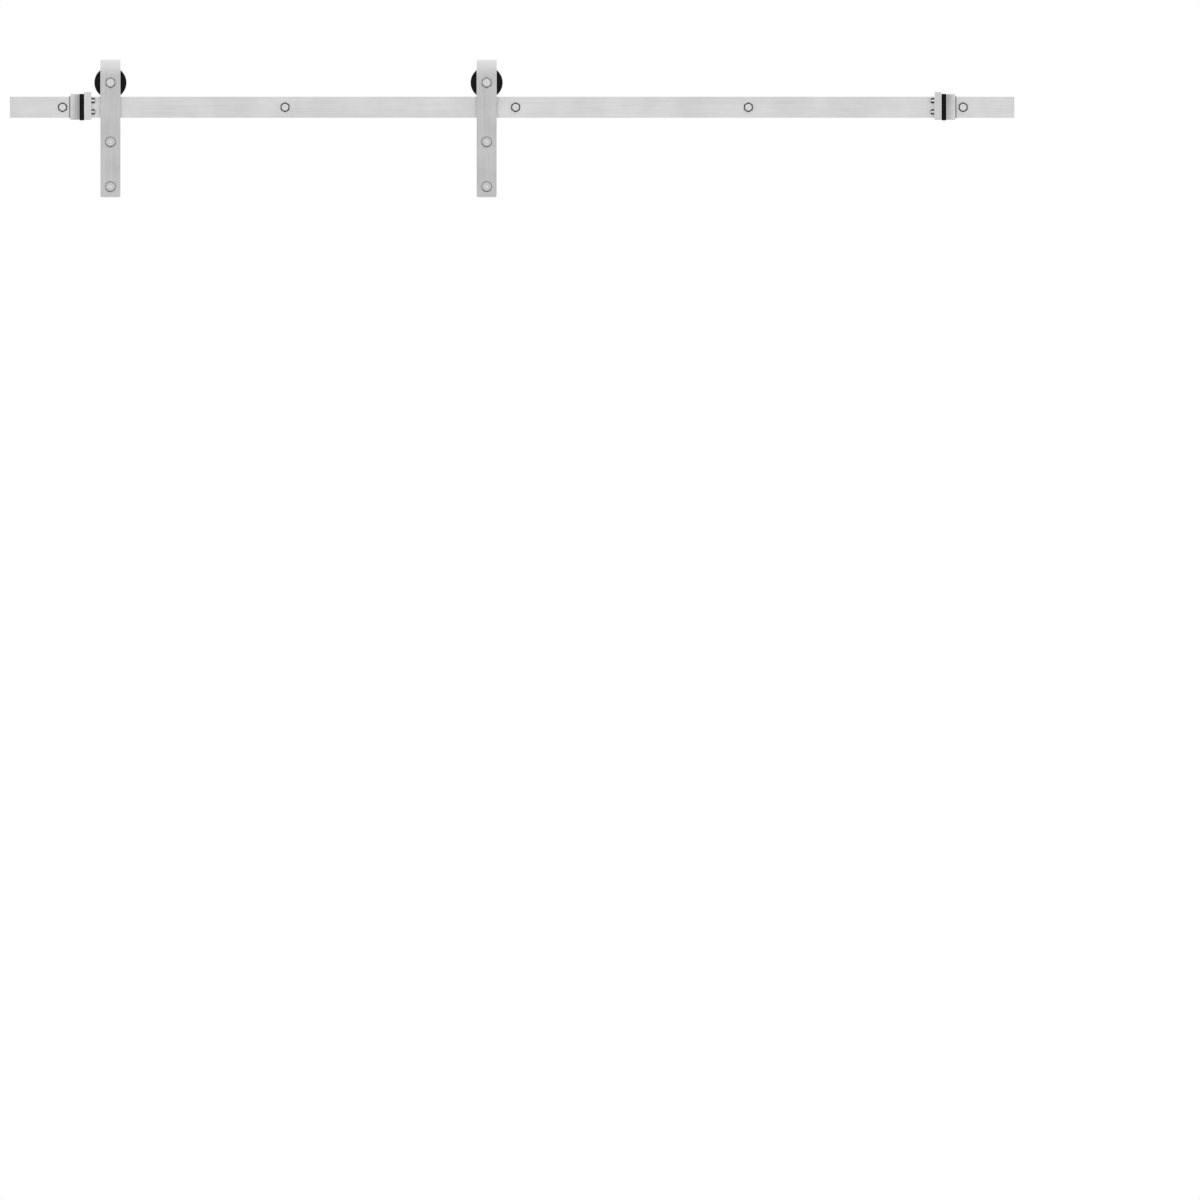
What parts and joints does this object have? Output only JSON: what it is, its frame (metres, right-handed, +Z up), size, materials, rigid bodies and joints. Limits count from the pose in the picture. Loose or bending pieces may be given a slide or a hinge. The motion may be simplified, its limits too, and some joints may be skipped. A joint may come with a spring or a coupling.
{
  "type": "sliding barn door hardware",
  "caption": "Flat rail on wall spacers with strap hangers on grooved rollers and a cushioned end stop at each end, for hanging a sliding door from its front face.",
  "frame": {"origin": "where the axis of the centre wall screw crosses the wall's face", "axes": "+X along the rail to the right as seen from the room, +Y into the wall, +Z up"},
  "size_m": [2, 0.1265, 0.274],
  "materials": {
    "brushed_stainless": "brushed along its length",
    "satin_stainless": "satin",
    "turned_stainless": "fine turned",
    "screw_stainless": "bright, lightly worn",
    "bearing_steel": "ground and polished",
    "shield_steel": "pressed sheet",
    "black_nylon": "turned nylon, slight sheen",
    "cage_plastic": "moulded",
    "black_rubber": "matt"
  },
  "bodies": {
    "rail_unit": {"rail": "brushed_stainless", "wall_screw_1": "screw_stainless", "wall_screw_2": "screw_stainless", "wall_screw_3": "screw_stainless", "wall_screw_4": "screw_stainless", "wall_screw_5": "screw_stainless", "wall_washer_1": "screw_stainless", "wall_washer_2": "screw_stainless", "wall_washer_3": "screw_stainless", "wall_washer_4": "screw_stainless", "wall_washer_5": "screw_stainless", "wall_spacer_1": "turned_stainless", "wall_spacer_2": "turned_stainless", "wall_spacer_3": "turned_stainless", "wall_spacer_4": "turned_stainless", "wall_spacer_5": "turned_stainless", "left_stop_block": "satin_stainless", "left_stop_buffer": "black_rubber", "left_stop_strike": "satin_stainless", "left_stop_sleeve": "black_rubber", "left_stop_cap_screws": "screw_stainless", "left_stop_set_screws": "screw_stainless", "right_stop_block": "satin_stainless", "right_stop_buffer": "black_rubber", "right_stop_strike": "satin_stainless", "right_stop_sleeve": "black_rubber", "right_stop_cap_screws": "screw_stainless", "right_stop_set_screws": "screw_stainless"},
    "left_hanger": {"left_strap": "brushed_stainless", "left_axle_bolt": "screw_stainless", "left_axle_washer": "screw_stainless", "left_axle_nut": "screw_stainless", "left_front_bush": "turned_stainless", "left_rear_bush": "turned_stainless", "left_inner_race": "bearing_steel", "left_door_screw_upper": "screw_stainless", "left_door_screw_lower": "screw_stainless"},
    "left_roller_unit": {"left_roller": "black_nylon", "left_outer_race": "bearing_steel", "left_bearing_shields": "shield_steel"},
    "left_ball_set": {"left_bearing_balls": "bearing_steel", "left_ball_cage": "cage_plastic"},
    "right_hanger": {"right_strap": "brushed_stainless", "right_axle_bolt": "screw_stainless", "right_axle_washer": "screw_stainless", "right_axle_nut": "screw_stainless", "right_front_bush": "turned_stainless", "right_rear_bush": "turned_stainless", "right_inner_race": "bearing_steel", "right_door_screw_upper": "screw_stainless", "right_door_screw_lower": "screw_stainless"},
    "right_roller_unit": {"right_roller": "black_nylon", "right_outer_race": "bearing_steel", "right_bearing_shields": "shield_steel"},
    "right_ball_set": {"right_bearing_balls": "bearing_steel", "right_ball_cage": "cage_plastic"}
  },
  "joints": [
    {"name": "left_hanger_slide", "type": "slide", "parent": "rail_unit", "child": "left_hanger", "axis": [1, 0, 0], "range_m": [-0.0105, 0.864]},
    {"name": "left_roller_spin", "type": "hinge", "parent": "left_hanger", "child": "left_roller_unit", "pos_m": [-0.80668, -0.038, 0.049], "axis": [0, 1, 0], "continuous": true},
    {"name": "left_ball_set_spin", "type": "hinge", "parent": "left_hanger", "child": "left_ball_set", "pos_m": [-0.80668, -0.038, 0.049], "axis": [0, 1, 0], "continuous": true},
    {"name": "right_hanger_slide", "type": "slide", "parent": "rail_unit", "child": "right_hanger", "axis": [1, 0, 0], "range_m": [-0.0105, 0.864]},
    {"name": "right_roller_spin", "type": "hinge", "parent": "right_hanger", "child": "right_roller_unit", "pos_m": [-0.05769, -0.038, 0.049], "axis": [0, 1, 0], "continuous": true},
    {"name": "right_ball_set_spin", "type": "hinge", "parent": "right_hanger", "child": "right_ball_set", "pos_m": [-0.05769, -0.038, 0.049], "axis": [0, 1, 0], "continuous": true}
  ],
  "couplings": [
    {"joint": "left_roller_spin", "follows": "left_hanger_slide", "rad_per_m": 36.101},
    {"joint": "left_ball_set_spin", "follows": "left_hanger_slide", "rad_per_m": 22.932},
    {"joint": "right_hanger_slide", "follows": "left_hanger_slide", "ratio": 1},
    {"joint": "right_roller_spin", "follows": "left_hanger_slide", "rad_per_m": 36.101},
    {"joint": "right_ball_set_spin", "follows": "left_hanger_slide", "rad_per_m": 22.932}
  ]
}
